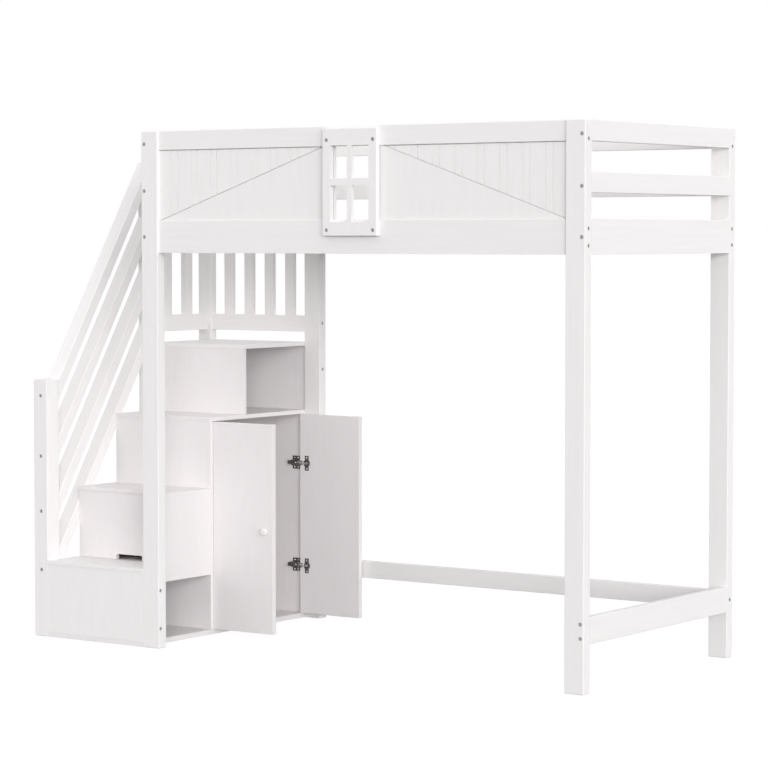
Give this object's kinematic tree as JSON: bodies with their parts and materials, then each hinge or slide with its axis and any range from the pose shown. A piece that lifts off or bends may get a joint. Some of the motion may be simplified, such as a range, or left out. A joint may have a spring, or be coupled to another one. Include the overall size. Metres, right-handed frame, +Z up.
{
  "type": "loft bed",
  "caption": "White loft bed with a house-front guard and window, reached by a stair cabinet with a drawer, open cubbies, paired doors and a slatted landing guard.",
  "frame": {"origin": "on the floor, under the middle of the overall box", "axes": "+X along the bed away from the stairs, +Y from the window side to the back, +Z up"},
  "size_m": [2.554, 1.101, 1.996],
  "materials": {
    "painted_timber": "satin white paint",
    "painted_board": "smooth white paint",
    "knob_lacquer": "gloss white",
    "bolt_nickel": "dull nickel plate",
    "zinc_nut": "zinc plated",
    "hinge_nickel": "dull nickel"
  },
  "bodies": {
    "bed": {"back_floor_stretcher": "painted_timber", "back_guard_rails": "painted_timber", "back_left_post": "painted_timber", "back_middle_rail": "painted_timber", "back_right_post": "painted_timber", "back_side_rail": "painted_timber", "back_top_rail": "painted_timber", "barrel_nuts": "zinc_nut", "base_board": "painted_board", "bead_panels": "painted_board", "bed_slats": "painted_timber", "cabinet_front_wall": "painted_board", "cabinet_left_side": "painted_board", "cabinet_rear_wall": "painted_board", "cheek_panel": "painted_board", "cubby_apron": "painted_board", "cubby_left_side": "painted_board", "drawer_left_side": "painted_board", "drawer_runners": "painted_board", "entry_post": "painted_timber", "first_tread": "painted_board", "frame_bolts": "bolt_nickel", "front_left_post": "painted_timber", "front_right_post": "painted_timber", "front_side_rail": "painted_timber", "front_top_rail": "painted_timber", "guard_corner_post": "painted_timber", "guard_slats": "painted_timber", "gusset_panels": "painted_board", "handrail_bars": "painted_timber", "hinge_arms": "hinge_nickel", "landing_board": "painted_board", "landing_left_side": "painted_board", "landing_rear_board": "painted_board", "landing_riser": "painted_board", "left_middle_rail": "painted_timber", "left_side_rail": "painted_timber", "left_top_rail": "painted_timber", "newel_post": "painted_timber", "right_floor_stretcher": "painted_timber", "right_middle_rail": "painted_timber", "right_side_rail": "painted_timber", "right_top_rail": "painted_timber", "second_tread": "painted_board", "side_guard_rails": "painted_timber", "slat_ledgers": "painted_timber", "step_front_board": "painted_board", "third_tread": "painted_board", "upper_newel_post": "painted_timber", "window_frame": "painted_board"},
    "front_door": {"front_door": "painted_board", "front_door_knob": "knob_lacquer", "front_hinge_plates": "hinge_nickel"},
    "back_door": {"back_door": "painted_board", "back_door_knob": "knob_lacquer", "back_hinge_plates": "hinge_nickel"},
    "drawer": {"drawer_front": "painted_board", "drawer_walls": "painted_board", "drawer_bottom": "painted_board"}
  },
  "joints": [
    {"name": "front_door_hinge", "type": "hinge", "parent": "bed", "child": "front_door", "pos_m": [-0.7145, -0.0987, 0.437], "axis": [0, 0, 1], "range_deg": [-15, 90]},
    {"name": "back_door_hinge", "type": "hinge", "parent": "bed", "child": "back_door", "pos_m": [-0.7145, 0.5007, 0.437], "axis": [0, 0, 1], "range_deg": [-90, 0]},
    {"name": "drawer_slide", "type": "slide", "parent": "bed", "child": "drawer", "axis": [0, -1, 0], "range_m": [0, 0.15]}
  ]
}
